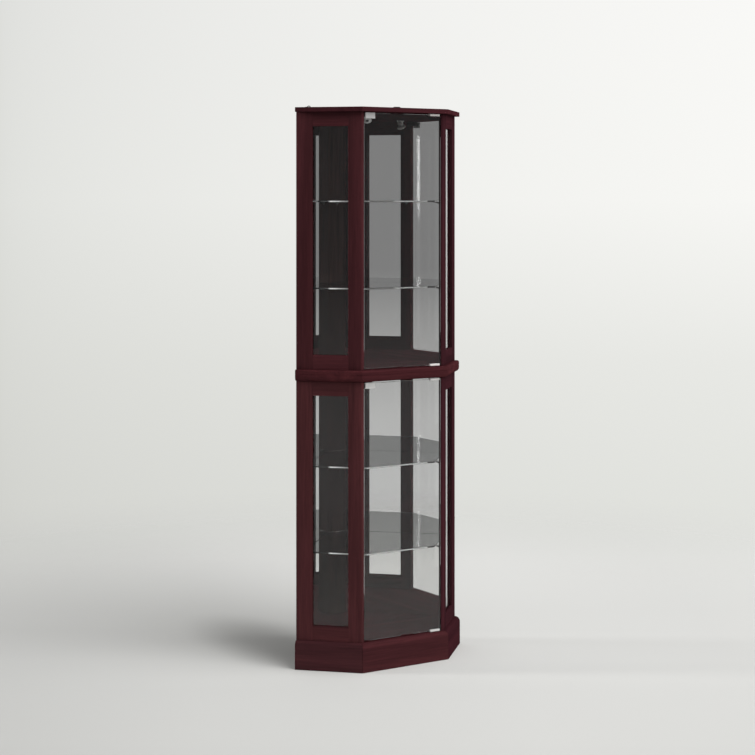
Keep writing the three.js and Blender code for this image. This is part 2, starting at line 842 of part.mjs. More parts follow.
function add(parent, name, geometry, material) {
  const plain = bare(geometry).toNonIndexed();
  plain.computeVertexNormals();
  const mesh = new THREE.Mesh(plain, material);
  mesh.name = name;
  parent.add(mesh);
  return mesh;
}

function addPair(name_start, name_end, geometry, material) {
  add(walls, `${name_start}left${name_end}`, geometry, material);
  add(walls, `${name_start}right${name_end}`, mirrored(geometry), material);
}

function addCarcass() {
  add(walls, 'top_board', topBoard(), wood);
  add(walls, 'mid_board', midBoard(), wood);
  add(walls, 'floor_board', floorBoard(), board);
  add(walls, 'plinth_front', plinthFront(), wood);
  addPair('plinth_', '', plinthSide(), wood);
  addPair('back_panel_', '', backPanel(), board);
  add(walls, 'corner_board', cornerBoard(), wood);
  addPair('mirror_', '', backMirror(), silvered);
}

function addReturns(storey, z_low, z_high) {
  addPair(`${storey}_`, '_frame', returnFrame(z_low, z_high), wood);
  addPair(`${storey}_`, '_pane', returnPane(z_low, z_high), clear_glass);
}

function addShelf(name, level) {
  add(walls, name, glassShelf(), clear_glass).position.z = level;
  const z = level - gap;
  const corner = corner_face * root_half;
  const places = {
    pin_left_front: [front_pin, -frame_inner, quarter_turn],
    pin_left_rear: [rear_pin, -frame_inner, quarter_turn],
    pin_right_front: [frame_inner, -front_pin, Math.PI],
    pin_right_rear: [frame_inner, -rear_pin, Math.PI],
    pin_corner: [corner, -corner, -eighth_turn],
  };
  for (const [place, [x, y, turn]] of Object.entries(places)) {
    const pin = add(walls, `${name}_${place}`, shelfPin(), nickel);
    pin.position.set(x, y, z);
    pin.rotation.z = turn;
  }
}

function addDoor(storey, z_low, z_high) {
  add(front, `${storey}_door_glass`, glassDoor(z_low, z_high), clear_glass);
  add(front, `${storey}_door_lower_clamp`, pivotClamp(), nickel).position.z = z_low;
  const over = new THREE.Group();
  over.position.set(0, 2 * door_middle, z_high);
  over.rotation.x = Math.PI;
  front.add(over);
  add(over, `${storey}_door_upper_clamp`, pivotClamp(), nickel);
  add(front, `${storey}_catch_plate`, catchPlate(), nickel).position.z = z_high;
  add(front, `${storey}_latch_housing`, latchHousing(), dark_plastic).position.z = z_high;
  add(front, `${storey}_latch_plunger`, latchPlunger(), nickel).position.z = z_high;
}

function addLamp() {
  const lamp = new THREE.Group();
  lamp.position.set(-lamp_offset, lamp_depth, upper_top - gap - lamp_plate_thickness - yoke_drop);
  lamp.rotation.z = lamp_turn;
  front.add(lamp);
  add(lamp, 'lamp_base', lampBase(), nickel);
  const aimed = new THREE.Group();
  aimed.rotation.x = -lamp_aim;
  lamp.add(aimed);
  add(aimed, 'lamp_head', lampHead(), nickel);
  add(aimed, 'lamp_bulb', lampBulb(), bulb_glass);
}

function addLeadFittings() {
  const gland = add(front, 'lead_gland', leadGland(), dark_plastic);
  gland.position.set(gland_offset, gland_depth, overall_height);
  const clip = add(walls, 'lead_clip', leadClip(), dark_plastic);
  clip.position.set(lead_clip_back, lead_clip_inset - wall_length, overall_height);
}

addCarcass();
addReturns('lower', lower_bottom, lower_top);
addReturns('upper', upper_bottom, upper_top);
shelfLevels().forEach((level, i) => addShelf(`shelf_${i + 1}`, level));
addDoor('lower', lower_bottom, lower_top);
addDoor('upper', upper_bottom, upper_top);
addLamp();
addLeadFittings();

export default cabinet;
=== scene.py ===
import math

import bmesh
import bpy
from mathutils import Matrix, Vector


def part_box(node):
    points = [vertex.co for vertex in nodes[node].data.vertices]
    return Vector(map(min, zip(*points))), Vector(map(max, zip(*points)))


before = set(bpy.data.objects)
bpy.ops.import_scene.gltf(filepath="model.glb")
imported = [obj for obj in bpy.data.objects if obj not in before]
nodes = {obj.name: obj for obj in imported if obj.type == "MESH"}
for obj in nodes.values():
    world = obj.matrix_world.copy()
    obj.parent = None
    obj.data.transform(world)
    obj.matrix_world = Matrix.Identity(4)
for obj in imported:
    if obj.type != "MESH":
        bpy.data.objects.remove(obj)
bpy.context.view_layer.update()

ROOT_HALF = math.sqrt(0.5)

# The room's corner lies this far behind the corner board. The plan is measured from it.
CORNER_CUT = 0.045
CORNER_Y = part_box("corner_board")[1].y + CORNER_CUT

# Directions: along the left and the right return, across, back, to the front and up.
ALONG_U = (ROOT_HALF, -ROOT_HALF, 0)
ALONG_V = (-ROOT_HALF, -ROOT_HALF, 0)
ALONG_X = (1, 0, 0)
ALONG_Y = (0, 1, 0)
FRONT = (0, -1, 0)
UP = (0, 0, 1)

# Camera of the photograph. It is level, and the lens shift brings the cabinet into the frame.
CAMERA_PLACE = (-3.2738, CORNER_Y - 5.3843, 1.5026)
CAMERA_TURNS = (90, 0, -32.83)
LENS = 87.22
SENSOR_WIDTH = 36
SHIFT_DOWN = 0.235
CLIP_END = 100


def add_camera():
    data = bpy.data.cameras.new("camera")
    data.lens = LENS
    data.sensor_width = SENSOR_WIDTH
    data.shift_y = -SHIFT_DOWN
    data.clip_end = CLIP_END
    camera = bpy.data.objects.new("camera", data)
    camera.location = CAMERA_PLACE
    camera.rotation_euler = [math.radians(turn) for turn in CAMERA_TURNS]
    bpy.context.scene.collection.objects.link(camera)
    bpy.context.scene.camera = camera


# A noise seldom leaves this range.
NOISE_LIMITS = (0.3, 0.7)


class Tree:
    """A short way to build a node tree: each call adds a node and returns an output."""

    def __init__(self, tree):
        self.tree = tree
        tree.nodes.clear()

    def add(self, kind, inputs, output=0, **settings):
        """inputs gives outputs of other nodes or values, by the name or index of the input."""
        node = self.tree.nodes.new(kind)
        for name, value in settings.items():
            setattr(node, name, value)
        for name, value in inputs.items():
            socket = node.inputs[name]
            if isinstance(value, bpy.types.NodeSocket):
                self.tree.links.new(value, socket)
            elif socket.type == "RGBA":
                socket.default_value = (*value, 1)
            else:
                socket.default_value = value
        return node.outputs[output] if node.outputs else None

    def maths(self, operation, first, second=0.0, third=0.0):
        inputs = {0: first, 1: second, 2: third}
        return self.add("ShaderNodeMath", inputs, operation=operation)

    def vector(self, operation, first, second):
        return self.add("ShaderNodeVectorMath", {0: first, 1: second}, operation=operation)

    def dot(self, vector, axis):
        inputs = {0: vector, 1: axis}
        return self.add("ShaderNodeVectorMath", inputs, "Value", operation="DOT_PRODUCT")

    def length(self, vector):
        return self.add("ShaderNodeVectorMath", {0: vector}, "Value", operation="LENGTH")

    def combine(self, x, y, z):
        return self.add("ShaderNodeCombineXYZ", {0: x, 1: y, 2: z})

    def noise(self, vector, scale, detail, roughness, distortion=0.0):
        inputs = {
            "Vector": vector, "Scale": scale, "Detail": detail,
            "Roughness": roughness, "Distortion": distortion,
        }
        return self.add("ShaderNodeTexNoise", inputs)

    def ramp(self, factor, stops):
        node = self.tree.nodes.new("ShaderNodeValToRGB")
        self.tree.links.new(factor, node.inputs[0])
        elements = node.color_ramp.elements
        while len(elements) < len(stops):
            elements.new(0.5)
        for element, (place, colour) in zip(elements, stops):
            element.position = place
            element.color = (*colour, 1)
        return node.outputs[0]

    def spread(self, value, limits, new_low, new_high, smooth=False):
        """Turns the range between the limits into a new one, and holds its ends outside."""
        low, high = limits
        inputs = {0: value, 1: low, 2: high, 3: new_low, 4: new_high}
        settings = {"interpolation_type": "SMOOTHSTEP"} if smooth else {}
        return self.add("ShaderNodeMapRange", inputs, **settings)

    def roughness(self, noise, low, high):
        return self.spread(noise, NOISE_LIMITS, low, high)

    def mix(self, factor, first, second):
        """Mixes two colours."""
        inputs = {0: factor, 6: first, 7: second}
        return self.add("ShaderNodeMix", inputs, 2, data_type="RGBA")

    def mix_vectors(self, factor, first, second):
        inputs = {0: factor, 4: first, 5: second}
        return self.add("ShaderNodeMix", inputs, 1, data_type="VECTOR")

    def mix_shaders(self, factor, first, second):
        return self.add("ShaderNodeMixShader", {0: factor, 1: first, 2: second})

    def principled(self, inputs):
        return self.add("ShaderNodeBsdfPrincipled", inputs)

    def bump(self, height, strength, distance):
        inputs = {"Height": height, "Strength": strength, "Distance": distance}
        return self.add("ShaderNodeBump", inputs)

    def place(self):
        return self.add("ShaderNodeTexCoord", {}, "Object")

    def grain(self, along, across, squeeze):
        """The place, squeezed along the grain, so that a noise makes streaks that way."""
        place = self.place()
        depth = tuple(Vector(along).cross(Vector(across)))
        return self.combine(
            self.dot(place, across),
            self.dot(place, depth),
            self.maths("MULTIPLY", self.dot(place, along), squeeze),
        )


def surface(name, build):
    """A new material. build gets its tree and returns a shader, or a Principled one's inputs."""
    material = bpy.data.materials.new(name)
    material.use_nodes = True
    tree = Tree(material.node_tree)
    shader = build(tree)
    if isinstance(shader, dict):
        shader = tree.principled(shader)
    tree.add("ShaderNodeOutputMaterial", {"Surface": shader})
    return material


# A noise is a scale per metre, detail, roughness and distortion, and a bump a strength and depth.
WOOD_DARK = (0.045, 0.0120, 0.0143)
WOOD_MIDDLE = (0.063, 0.0162, 0.0192)
WOOD_LIGHT = (0.087, 0.0214, 0.0250)
WOOD_PORE = (0.025, 0.008, 0.0095)
WOOD_TONE_PLACES = (0.36, 0.5, 0.64)
WOOD_SQUEEZE = 0.045
BROAD_NOISE = (22, 3, 0.55, 0.6)
STREAK_NOISE = (190, 5, 0.6, 0.25)
PORE_NOISE = (900, 2, 0.5)
PORE_LIMITS = (0.3, 0.45)
PORE_TONE_SHARE = 0.75
BROAD_TONE_SHARE = 0.62
STREAK_HEIGHT_SHARE = 0.6
WOOD_BUMP = (0.12, 0.0004)
WOOD_ROUGHNESS = (0.34, 0.44)
SHEEN_ROUGHNESS = 0.55
SHEEN_SHARE = 0.003

# The rails of a return lie between its stiles, round this distance from the wall.
RAIL_MIDDLE = 0.114
RAIL_HALF = 0.059


def mahogany(along, across, railed, hue_and_shade):
    """Dark red-brown lacquered wood. A railed frame has its rails' grain across its stiles'."""
    # Scales a tone per piece: partly the stain's hue, partly painted light and shade.
    def stain_and_shade(colour):
        return tuple(value * strength for value, strength in zip(colour, hue_and_shade))

    def build(tree):
        grain = tree.grain(along, across, WOOD_SQUEEZE)
        if railed:
            level = tree.grain(across, UP, WOOD_SQUEEZE)
            middle = RAIL_MIDDLE + CORNER_Y * across[1]
            from_middle = tree.maths("SUBTRACT", tree.dot(tree.place(), across), middle)
            from_middle = tree.maths("ABSOLUTE", from_middle)
            on_rail = tree.maths("LESS_THAN", from_middle, RAIL_HALF)
            grain = tree.mix_vectors(on_rail, grain, level)
        broad = tree.noise(grain, *BROAD_NOISE)
        streaks = tree.noise(grain, *STREAK_NOISE)
        pores = tree.noise(grain, *PORE_NOISE)

        fine = tree.maths("MULTIPLY", streaks, 1 - BROAD_TONE_SHARE)
        mixed = tree.maths("MULTIPLY_ADD", broad, BROAD_TONE_SHARE, fine)
        tones = [stain_and_shade(colour) for colour in (WOOD_DARK, WOOD_MIDDLE, WOOD_LIGHT)]
        colour = tree.ramp(mixed, list(zip(WOOD_TONE_PLACES, tones)))
        unpored = tree.spread(pores, PORE_LIMITS, PORE_TONE_SHARE, 1.0)

        fine = tree.maths("MULTIPLY", pores, 1 - STREAK_HEIGHT_SHARE)
        height = tree.maths("MULTIPLY_ADD", streaks, STREAK_HEIGHT_SHARE, fine)
        normal = tree.bump(height, *WOOD_BUMP)
        body = tree.principled({
            "Base Color": tree.mix(unpored, stain_and_shade(WOOD_PORE), colour),
            "Roughness": tree.roughness(streaks, *WOOD_ROUGHNESS),
            "Normal": normal,
            "Specular IOR Level": 0.0,
        })
        sheen = {"Roughness": SHEEN_ROUGHNESS, "Normal": normal}
        sheen = tree.add("ShaderNodeBsdfGlossy", sheen)
        return tree.mix_shaders(SHEEN_SHARE, body, sheen)
    return build


BACK_SQUEEZE = 0.05
BACK_NOISE = (120, 5, 0.62, 0.4)
BACK_TONES = (
    (0.32, (0.020, 0.0095, 0.0085)), (0.5, (0.032, 0.015, 0.013)), (0.68, (0.046, 0.022, 0.019)),
)
BACK_ROUGHNESS = (0.5, 0.66)
BACK_BUMP = (0.18, 0.0005)
BACK_SPECULAR = 0.05


def backing(tree):
    """Matt dark stain, with upright streaks."""
    streaks = tree.noise(tree.grain(UP, ALONG_X, BACK_SQUEEZE), *BACK_NOISE)
    return {
        "Base Color": tree.ramp(streaks, BACK_TONES),
        "Roughness": tree.roughness(streaks, *BACK_ROUGHNESS),
        "Normal": tree.bump(streaks, *BACK_BUMP),
        "Specular IOR Level": BACK_SPECULAR,
    }


HAZE_NOISE = (9, 3, 0.6)
CLEAR_TONES = ((0.965, 0.968, 0.966), (0.98, 0.98, 0.978))
CLEAR_INDEX = 1.4
SHELF_TONES = ((0.60, 0.61, 0.605), (0.63, 0.64, 0.635))
SHELF_INDEX = 1.5


def glass(tones, index):
    """Polished glass. index is its refractive index."""
    def build(tree):
        haze = tree.noise(tree.place(), *HAZE_NOISE)
        return {
            "Base Color": tree.mix(haze, *tones),
            "Roughness": 0.0,
            "IOR": index,
            "Transmission Weight": 1.0,
        }
    return build


clear_glass = glass(CLEAR_TONES, CLEAR_INDEX)
shelf_glass = glass(SHELF_TONES, SHELF_INDEX)

GRIT_NOISE = (900, 4, 0.6)
GRIT_ROUGHNESS = (0.3, 0.5)
GRIT_BUMP = (0.2, 0.0002)
GROUND_TRANSMISSION = 0.25
PAINTED_GLOW_COLOUR = (0.96, 0.97, 0.96)


def ground_edge(tree, low, high, painted_glow):
    """The ground edge of a sheet of glass. It scatters light, and glows with painted light: an
    emission that stands in for the light the edge catches.
    """
    grit = tree.noise(tree.place(), *GRIT_NOISE)
    return tree.principled({
        "Base Color": tree.mix(grit, low, high),
        "Roughness": tree.roughness(grit, *GRIT_ROUGHNESS),
        "Transmission Weight": GROUND_TRANSMISSION,
        "Normal": tree.bump(grit, *GRIT_BUMP),
        # Painted light: the edge glows though it is no lamp.
        "Emission Color": PAINTED_GLOW_COLOUR,
        "Emission Strength": painted_glow,
    })


# Places along a side edge are measured from the wall where it starts.
SIDE_TONES = ((0.64, 0.635, 0.63), (0.80, 0.79, 0.785))
# Where the edge turns from clear to bright ground glass, and its glow: painted light along the
# side edge.
SIDE_CLEAR_TO_LIT_EDGE = (0.098, 0.108)
SIDE_PAINTED_GLOW = 0.35
SIDE_PAINTED_GLOW_START = 0.10
SIDE_PAINTED_GLOW_ENDS = (0.145, 0.20)


def shelf_side_edge(tree):
    """Drawn clear beside the walls, and from there to the front as a bright ground edge with a
    painted glow: painted light where the edge catches it.
    """
    place = tree.place()
    to_corner = CORNER_Y * ROOT_HALF
    reaches = [tree.maths("ADD", tree.dot(place, way), to_corner) for way in (ALONG_U, ALONG_V)]
    reach = tree.maths("MINIMUM", *reaches)
    glows = [tree.spread(reach, (SIDE_PAINTED_GLOW_START, end), SIDE_PAINTED_GLOW, 0) for end in SIDE_PAINTED_GLOW_ENDS]
    ground = ground_edge(tree, *SIDE_TONES, tree.maths("ADD", *glows))
    clear = tree.principled(shelf_glass(tree))
    return tree.mix_shaders(tree.spread(reach, SIDE_CLEAR_TO_LIT_EDGE, 0, 1), clear, ground)


# Places along a front edge are measured from the cabinet's middle, to the right.
FRONT_LOW = (0.70, 0.71, 0.70)
FRONT_HIGH = (0.86, 0.87, 0.86)
# Painted shade: the edge is darker on the left of the upper case.
FRONT_SHADED_LOW = (0.25, 0.245, 0.24)
FRONT_SHADED_HIGH = (0.33, 0.325, 0.32)
FRONT_SHADED_TO_LIT = (-0.035, -0.02)
# Painted shadow: a short dark length on the right.
FRONT_SHADOW_TONES = ((0.03, 0.028, 0.027), (0.06, 0.055, 0.053))
FRONT_SHADOW_MIDDLE = 0.1175
FRONT_SHADOW_HALF = 0.0145
FRONT_END_START = (0.131, 0.134)
# Painted light: a glow at the right end and along the lower case.
FRONT_END_PAINTED_GLOW = 0.15
LOWER_CASE_PAINTED_GLOW = 0.13
LOWER_TO_UPPER_CASE = (0.85, 0.95)


def shelf_front_edge(tree):
    """Ground, darker on the left of the upper case and dark for a short length on the right, both
    painted shade, and lit with a painted glow along the lower case and at its right end.
    """
    place = tree.place()
    across = tree.dot(place, ALONG_X)
    upper = tree.spread(tree.dot(place, UP), LOWER_TO_UPPER_CASE, 0, 1)
    left_shade = tree.maths("MULTIPLY", upper, tree.spread(across, FRONT_SHADED_TO_LIT, 1, 0))
    low = tree.mix(left_shade, FRONT_LOW, FRONT_SHADED_LOW)
    high = tree.mix(left_shade, FRONT_HIGH, FRONT_SHADED_HIGH)
    case_glow = tree.spread(upper, (0, 1), LOWER_CASE_PAINTED_GLOW, 0)
    end_glow = tree.spread(across, FRONT_END_START, 0, FRONT_END_PAINTED_GLOW)
    ground = ground_edge(tree, low, high, tree.maths("ADD", case_glow, end_glow))
    shaded = ground_edge(tree, *FRONT_SHADOW_TONES, 0.0)
    from_middle = tree.maths("ABSOLUTE", tree.maths("SUBTRACT", across, FRONT_SHADOW_MIDDLE))
    return tree.mix_shaders(tree.maths("LESS_THAN", from_middle, FRONT_SHADOW_HALF), ground, shaded)


CLOUD_NOISE = (5, 2, 0.5)
MIRROR_TONES = ((0.865, 0.868, 0.866), (0.885, 0.886, 0.884))
MIRROR_ROUGHNESS = 0.004


def silvering(tree):
    cloud = tree.noise(tree.place(), *CLOUD_NOISE)
    return {
        "Base Color": tree.mix(cloud, *MIRROR_TONES),
        "Metallic": 1.0,
        "Roughness": MIRROR_ROUGHNESS,
    }


BRUSH_SQUEEZE = 0.05
BRUSH_NOISE = (2600, 3, 0.6)
BRUSH_ROUGHNESS = (0.32, 0.46)
BRUSH_BUMP = (0.08, 0.0002)


def satin_steel(low, high, metallic):
    """Plated steel with fine brush lines from left to right."""
    def build(tree):
        place = tree.place()
        brushed = tree.combine(
            tree.maths("MULTIPLY", tree.dot(place, ALONG_X), BRUSH_SQUEEZE),
            tree.dot(place, ALONG_Y),
            tree.dot(place, UP),
        )
        lines = tree.noise(brushed, *BRUSH_NOISE)
        return {
            "Base Color": tree.mix(lines, low, high),
            "Metallic": metallic,
            "Roughness": tree.roughness(lines, *BRUSH_ROUGHNESS),
            "Normal": tree.bump(lines, *BRUSH_BUMP),
        }
    return build


PIN_NOISE = (700, 3, 0.6)
PIN_TONES = ((0.10, 0.098, 0.095), (0.17, 0.165, 0.16))
PIN_METALLIC = 0.8
PIN_ROUGHNESS = (0.4, 0.55)


def dull_steel(tree):
    grain = tree.noise(tree.place(), *PIN_NOISE)
    return {
        "Base Color": tree.mix(grain, *PIN_TONES),
        "Metallic": PIN_METALLIC,
        "Roughness": tree.roughness(grain, *PIN_ROUGHNESS),
    }


PLASTIC_NOISE = (1400, 3, 0.6)
PLASTIC_TONES = ((0.006, 0.005, 0.0045), (0.012, 0.010, 0.009))
PLASTIC_ROUGHNESS = (0.5, 0.62)
PLASTIC_BUMP = (0.15, 0.0002)
PLASTIC_SPECULAR = 0.08


def moulded_plastic(tree):
    grain = tree.noise(tree.place(), *PLASTIC_NOISE)
    return {
        "Base Color": tree.mix(grain, *PLASTIC_TONES),
        "Roughness": tree.roughness(grain, *PLASTIC_ROUGHNESS),
        "Normal": tree.bump(grain, *PLASTIC_BUMP),
        "Specular IOR Level": PLASTIC_SPECULAR,
    }


# The point that the lamp's head turns on, the way it points at rest, and its bulb's face.
LAMP_PIVOT = (-0.065, CORNER_Y - 0.346155, 1.7727)
LAMP_AIM = (-0.287, -0.497, -0.819)
BULB_CELL_SCALE = 420
BULB_DARK_TONES = ((0.016, 0.0155, 0.015), (0.040, 0.039, 0.037))
BULB_SILVER_TONES = ((0.42, 0.42, 0.41), (0.60, 0.60, 0.59))
BULB_DARK_TO_SILVER = (0.0048, 0.0062)
# Painted highlight: the reflector ring glows, more to the right.
BULB_LEFT_TO_RIGHT = (-0.0075, 0.002)
BULB_PAINTED_HIGHLIGHT = (0.01, 0.12)
BULB_HIGHLIGHT_COLOUR = (1.0, 1.0, 0.98)
BULB_ROUGHNESS = 0.2
BULB_BUMP = (0.4, 0.0006)
BULB_COAT = 0.3


def bulb_face(tree):
    """Moulded glass, dark in the middle, with the silvered reflector round it. The reflector
    glows, more to the right: a painted highlight.
    """
    place = tree.place()
    cells = tree.add("ShaderNodeTexVoronoi", {"Vector": place, "Scale": BULB_CELL_SCALE})
    from_pivot = tree.vector("SUBTRACT", place, LAMP_PIVOT)
    radius = tree.length(tree.vector("CROSS_PRODUCT", from_pivot, LAMP_AIM))
    ring = tree.spread(radius, BULB_DARK_TO_SILVER, 0, 1, smooth=True)
    dark = tree.mix(cells, *BULB_DARK_TONES)
    silver = tree.mix(cells, *BULB_SILVER_TONES)
    across = tree.dot(from_pivot, ALONG_X)
    painted_glow = tree.spread(across, BULB_LEFT_TO_RIGHT, *BULB_PAINTED_HIGHLIGHT, smooth=True)
    return {
        "Base Color": tree.mix(ring, dark, silver),
        "Roughness": BULB_ROUGHNESS,
        "Normal": tree.bump(cells, *BULB_BUMP),
        "Coat Weight": BULB_COAT,
        "Emission Color": BULB_HIGHLIGHT_COLOUR,
        "Emission Strength": tree.maths("MULTIPLY", ring, painted_glow),
    }


# Wooden parts: material, direction of the grain and across it, rails or not, tint, and pieces.
# The tint is partly the stain's hue and partly painted light and shade, by where a piece stands
# and which way it faces.
WOODS = (
    ("mahogany_top", ALONG_X, ALONG_Y, False, (0.80, 0.84, 0.90), ("top_board",)),
    ("mahogany_level", ALONG_X, ALONG_Y, False, (1, 1, 1), ("mid_board", "floor_board")),
    ("mahogany_plinth_left", ALONG_U, UP, False, (0.92, 1.18, 1.15), ("plinth_left",)),
    ("mahogany_plinth_right", ALONG_V, UP, False, (0.66, 0.68, 0.77), ("plinth_right",)),
    ("mahogany_plinth_front", ALONG_X, UP, False, (0.93, 1.05, 1.02), ("plinth_front",)),
    ("mahogany_upper_left", UP, ALONG_U, True, (1.0, 1.1, 1.1), ("upper_left_frame",)),
    ("mahogany_lower_left", UP, ALONG_U, True, (1.1, 1.33, 1.24), ("lower_left_frame",)),
    ("mahogany_right", UP, ALONG_V, True, (0.68, 0.74, 0.84),
     ("lower_right_frame", "upper_right_frame")),
)

# Steel parts: material, tones of the brush lines, how metallic, and pieces.
STEELS = (
    ("satin_steel", (0.63, 0.625, 0.615), (0.78, 0.775, 0.76), 0.45,
     ("lower_catch_plate", "lower_latch_plunger", "upper_latch_plunger",
      "lamp_base", "lamp_head")),
    # A darker copy for the upper catch plate: painted shade under the top board.
    ("satin_steel_shaded", (0.56, 0.555, 0.55), (0.69, 0.685, 0.68), 0.45,
     ("upper_catch_plate",)),
    ("satin_steel_bright", (0.70, 0.69, 0.67), (0.84, 0.83, 0.81), 0.12,
     ("lower_door_lower_clamp", "lower_door_upper_clamp")),
    # A lighter copy for the upper door's clamps: painted light.
    ("satin_steel_lit", (0.90, 0.85, 0.83), (0.99, 0.95, 0.93), 0.1,
     ("upper_door_lower_clamp", "upper_door_upper_clamp")),
)

SHELVES = ("shelf_1", "shelf_2", "shelf_3", "shelf_4")
MOULDED_BOARDS = ("top_board", "mid_board", "plinth_front", "plinth_left", "plinth_right")

# Cosine of the angle that a face may look away from the named direction.
FACING = 0.95

# Widths in metres and angles in degrees.
BOARD_EASE = 0.0008
FRAME_EASE = 0.0006
EASE_SEGMENTS = 2
EASE_ANGLE = 35
FLAT_ANGLE = 0.5
WELD_DISTANCE = 0.00001


def ending(*words):
    return [name for name in nodes if name.endswith(words)]


def paint(names, material_name, build):
    material = surface(material_name, build)
    for name in names:
        slots = nodes[name].data.materials
        slots.clear()
        slots.append(material)


def paint_faces(names, facings, material_name, build):
    """Gives the faces that look in the named directions a material of their own."""
    material = surface(material_name, build)
    for name in names:
        mesh = nodes[name].data
        mesh.materials.append(material)
        last = len(mesh.materials) - 1
        turn = nodes[name].matrix_world.to_3x3()
        for face in mesh.polygons:
            normal = (turn @ face.normal).normalized()
            if any(normal.dot(Vector(facing)) > FACING for facing in facings):
                face.material_index = last


def round_edges(obj, width):
    """Eases the sharp edges of a CAD node by modifiers alone."""
    weld = obj.modifiers.new("weld", "WELD")
    weld.merge_threshold = WELD_DISTANCE
    flat = obj.modifiers.new("flat", "DECIMATE")
    flat.decimate_type = "DISSOLVE"
    flat.angle_limit = math.radians(FLAT_ANGLE)
    bevel = obj.modifiers.new("ease", "BEVEL")
    bevel.width = width
    bevel.segments = EASE_SEGMENTS
    bevel.limit_method = "ANGLE"
    bevel.angle_limit = math.radians(EASE_ANGLE)
    bevel.use_clamp_overlap = True
    bevel.harden_normals = True


def dress_cabinet():
    for name, along, across, railed, hue_and_shade, pieces in WOODS:
        paint(pieces, name, mahogany(along, across, railed, hue_and_shade))
    for name, low, high, metallic, pieces in STEELS:
        paint(pieces, name, satin_steel(low, high, metallic))
    paint(("back_panel_left", "back_panel_right", "corner_board"), "stained_back", backing)
    paint(("mirror_left", "mirror_right"), "silvered_glass", silvering)
    paint(ending("_pane", "_glass"), "clear_glass", clear_glass)
    paint(SHELVES, "shelf_glass", shelf_glass)
    paint_faces(SHELVES, (ALONG_U, ALONG_V), "shelf_side_edge", shelf_side_edge)
    paint_faces(SHELVES, (FRONT,), "shelf_front_edge", shelf_front_edge)
    paint([name for name in nodes if "_pin_" in name], "dull_steel", dull_steel)
    paint(ending("_housing", "lead_gland", "lead_clip"), "moulded_plastic", moulded_plastic)
    paint(("lamp_bulb",), "lamp_lens", bulb_face)
    for name in MOULDED_BOARDS:
        round_edges(nodes[name], BOARD_EASE)
    for name in ending("_frame"):
        round_edges(nodes[name], FRAME_EASE)


# The stage's directions: to the back, to the right, to the bright card, and across the card.
STAGE_BACK = (0.5421, 0.8403, 0)
STAGE_RIGHT = (0.8403, -0.5421, 0)
CARD_WAY = (-0.829, 0.559, 0)
CARD_ACROSS = (0.559, 0.829, 0)

# Sky. Heights and widths are those of a point at distance 1, and tones go from low to high.
TONE_HEIGHTS = (-0.3, 0.3)
FAR_LEFT_TONES = (
    (0.0, (0.56, 0.56, 0.54)), (0.23, (0.635, 0.64, 0.61)), (0.355, (0.68, 0.686, 0.655)),
    (0.5, (0.73, 0.738, 0.71)), (0.72, (0.73, 0.735, 0.715)),
)
FAR_RIGHT_TONES = (
    (0.0, (0.66, 0.66, 0.64)), (0.23, (0.76, 0.768, 0.735)), (0.355, (0.81, 0.815, 0.785)),
    (0.5, (0.93, 0.93, 0.905)), (0.72, (0.95, 0.947, 0.93)),
)
NEAR_TONES = (
    (0.0, (0.40, 0.40, 0.395)), (0.16, (0.41, 0.41, 0.405)), (0.19, (0.50, 0.50, 0.495)),
    (0.24, (0.59, 0.59, 0.585)), (0.305, (0.556, 0.556, 0.55)), (0.368, (0.42, 0.42, 0.415)),
    (0.395, (0.363, 0.363, 0.36)), (0.437, (0.258, 0.258, 0.258)),
    (0.60, (0.258, 0.258, 0.258)), (0.70, (0.17, 0.17, 0.17)),
)
OVERHEAD_TONE = (0.30, 0.30, 0.30)
SIDES_TO_OVERHEAD = (0.35, 0.62)
NEAR_TO_FAR = (-0.1, 0.25)
LEFT_TO_RIGHT = (-0.2, 0.2)
LEFT_TO_RIGHT_POWER = 0.6
CARD_TONE = (60.0, 60.0, 60.0)
CARD_EDGE = (0.04, 0.08)
CARD_FOOT = (-0.012, 0.038)
CARD_FOOT_SHARE = 0.62
CARD_BODY = (0.07, 0.13)
CARD_TOP = (0.22, 0.34)


